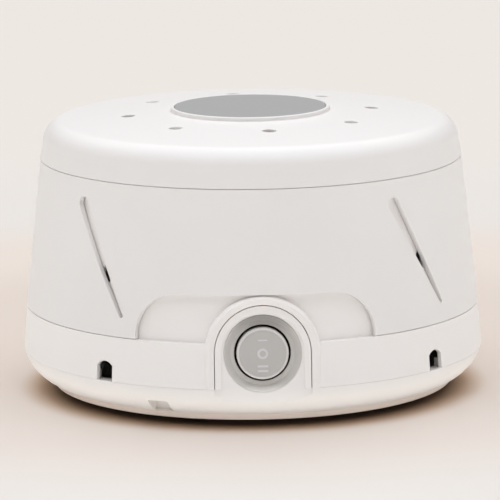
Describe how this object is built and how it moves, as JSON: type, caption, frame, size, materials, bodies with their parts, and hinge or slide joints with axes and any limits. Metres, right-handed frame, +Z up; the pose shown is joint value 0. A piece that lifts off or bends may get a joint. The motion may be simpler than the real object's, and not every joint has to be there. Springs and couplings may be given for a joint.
{
  "type": "white noise sound machine",
  "caption": "Round fan-driven white noise machine with a turning slotted collar, a turning cap with sound holes, and a round three-position rocker switch in front.",
  "frame": {"origin": "on the table, at the centre of the object's bounding box seen from above, which is within about 1 mm of the axis of the round body", "axes": "+Z up along the body's axis; the rocker switch faces -Y; +X to the right of someone who faces the switch"},
  "size_m": [0.146, 0.1449, 0.0897],
  "materials": {
    "white_shell": "satin moulded plastic, warm white",
    "grey_disc": "matt mid grey plastic",
    "grey_switch": "satin mid grey plastic",
    "black_plastic": "matt black plastic",
    "black_rubber": "matt black rubber",
    "zinc_steel": "zinc plated steel",
    "lamination": "stacked electrical steel sheet",
    "copper": "bare copper",
    "enamelled_wire": "enamelled copper wire",
    "bobbin_nylon": "natural nylon",
    "brass_tab": "tinned brass",
    "bronze": "oiled sintered bronze",
    "fan_plastic": "dark grey moulded plastic"
  },
  "bodies": {
    "base": {"base_pan": "white_shell", "feet": "black_rubber", "case_screws": "zinc_steel", "housing": "white_shell", "cap_screw": "zinc_steel", "cap_washer": "black_plastic", "switch_bezel": "grey_switch", "switch_body": "black_plastic", "switch_terminals": "brass_tab", "cord_bush": "black_plastic", "stator_stack": "lamination", "shading_rings": "copper", "coil_bobbin": "bobbin_nylon", "motor_coil": "enamelled_wire", "motor_plate": "zinc_steel", "motor_spacers": "zinc_steel", "bearing_bridge": "zinc_steel", "bearings": "bronze", "motor_screws": "zinc_steel", "rubber_mounts": "black_rubber", "mount_screws": "zinc_steel", "motor_leads": "black_plastic"},
    "cap": {"top_cap": "white_shell", "cap_disc": "grey_disc"},
    "collar": {"collar": "white_shell"},
    "rocker": {"rocker_button": "grey_switch"},
    "rotor": {"motor_shaft": "zinc_steel", "rotor_core": "lamination", "fan_impeller": "fan_plastic", "fan_clip": "zinc_steel"}
  },
  "joints": [
    {"name": "cap_turn", "type": "hinge", "parent": "base", "child": "cap", "pos_m": [0, 0, 0.08], "axis": [0, 0, 1], "range_deg": [-22.5, 22.5]},
    {"name": "collar_turn", "type": "hinge", "parent": "base", "child": "collar", "pos_m": [0, 0, 0.05], "axis": [0, 0, 1], "range_deg": [-14.2, 17.3]},
    {"name": "rocker_tilt", "type": "hinge", "parent": "base", "child": "rocker", "pos_m": [0, -0.06601, 0.02374], "axis": [1, 0, 0], "range_deg": [-8, 8]},
    {"name": "rotor_spin", "type": "hinge", "parent": "base", "child": "rotor", "pos_m": [0, 0, 0.04], "axis": [0, 0, 1], "continuous": true}
  ]
}
